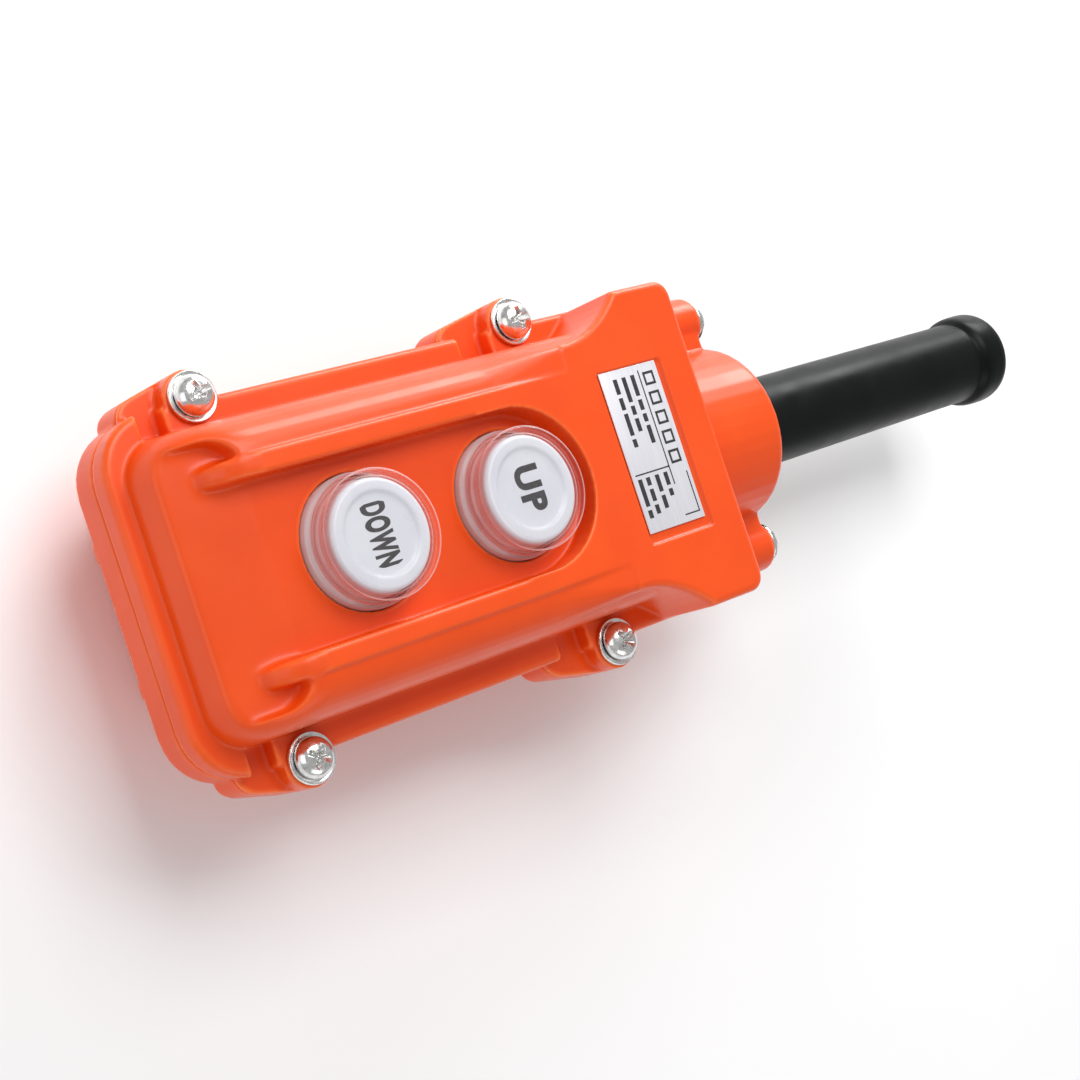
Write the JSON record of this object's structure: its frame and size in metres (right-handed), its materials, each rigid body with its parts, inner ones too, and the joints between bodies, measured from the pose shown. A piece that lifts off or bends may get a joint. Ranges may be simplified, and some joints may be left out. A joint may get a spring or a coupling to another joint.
{
  "type": "pendant control station",
  "caption": "Hand-held hoist pendant with up and down push buttons under clear boots, a two-part case and a rubber cable sleeve.",
  "frame": {"origin": "under the middle of the whole length, on the plane the back of the case rests on", "axes": "+X from the closed end of the case to the cable sleeve, +Y across the case, +Z out of the button face"},
  "size_m": [0.2304, 0.0764, 0.0534],
  "materials": {
    "orange_plastic": "moulded ABS, half gloss",
    "black_rubber": "satin moulded rubber",
    "clear_silicone": "clear silicone, glossy",
    "white_plastic": "moulded, smooth",
    "zinc_steel": "bright zinc plate",
    "label_silver": "printed foil",
    "black_phenolic": "moulded phenolic, matt",
    "brass": "plain, machined",
    "copper": "stamped copper alloy with silver tips",
    "gasket_rubber": "soft rubber, matt",
    "spring_steel": "drawn wire and clips"
  },
  "bodies": {
    "case": {"block_screw_1": "zinc_steel", "block_screw_2": "zinc_steel", "block_screw_3": "zinc_steel", "block_screw_4": "zinc_steel", "button_boot_down": "clear_silicone", "button_boot_up": "clear_silicone", "cable_sleeve": "black_rubber", "case_gasket": "gasket_rubber", "contact_block": "black_phenolic", "cover_screw_1": "zinc_steel", "cover_screw_2": "zinc_steel", "cover_screw_3": "zinc_steel", "cover_screw_4": "zinc_steel", "cover_washer_1": "zinc_steel", "cover_washer_2": "zinc_steel", "cover_washer_3": "zinc_steel", "cover_washer_4": "zinc_steel", "fixed_contact_down_a": "brass", "fixed_contact_down_b": "brass", "fixed_contact_up_a": "brass", "fixed_contact_up_b": "brass", "front_cover": "orange_plastic", "gland_cap": "orange_plastic", "gland_screw_1": "zinc_steel", "gland_screw_2": "zinc_steel", "gland_washer_1": "zinc_steel", "gland_washer_2": "zinc_steel", "interlock_plate": "zinc_steel", "plate_screw_1": "zinc_steel", "plate_screw_2": "zinc_steel", "rating_plate": "label_silver", "rear_case": "orange_plastic", "return_spring_down": "spring_steel", "return_spring_up": "spring_steel", "terminal_screw_down_a": "brass", "terminal_screw_down_b": "brass", "terminal_screw_up_a": "brass", "terminal_screw_up_b": "brass"},
    "down_button": {"bridge_clip_down": "spring_steel", "button_cap_down": "white_plastic", "contact_bridge_down": "copper", "plunger_down": "black_phenolic"},
    "up_button": {"bridge_clip_up": "spring_steel", "button_cap_up": "white_plastic", "contact_bridge_up": "copper", "plunger_up": "black_phenolic"},
    "interlock": {"interlock_bar": "white_plastic"}
  },
  "joints": [
    {"name": "down_press", "type": "slide", "parent": "case", "child": "down_button", "axis": [0, 0, -1], "range_m": [0, 0.004], "stiffness_N_per_m": 900, "springref_m": -0.004, "deforming": ["return_spring_down", "button_boot_down"]},
    {"name": "up_press", "type": "slide", "parent": "case", "child": "up_button", "axis": [0, 0, -1], "range_m": [0, 0.004], "stiffness_N_per_m": 900, "springref_m": -0.004, "deforming": ["return_spring_up", "button_boot_up"]},
    {"name": "interlock_slide", "type": "slide", "parent": "case", "child": "interlock", "axis": [1, 0, 0], "range_m": [-0.001, 0.001]}
  ]
}
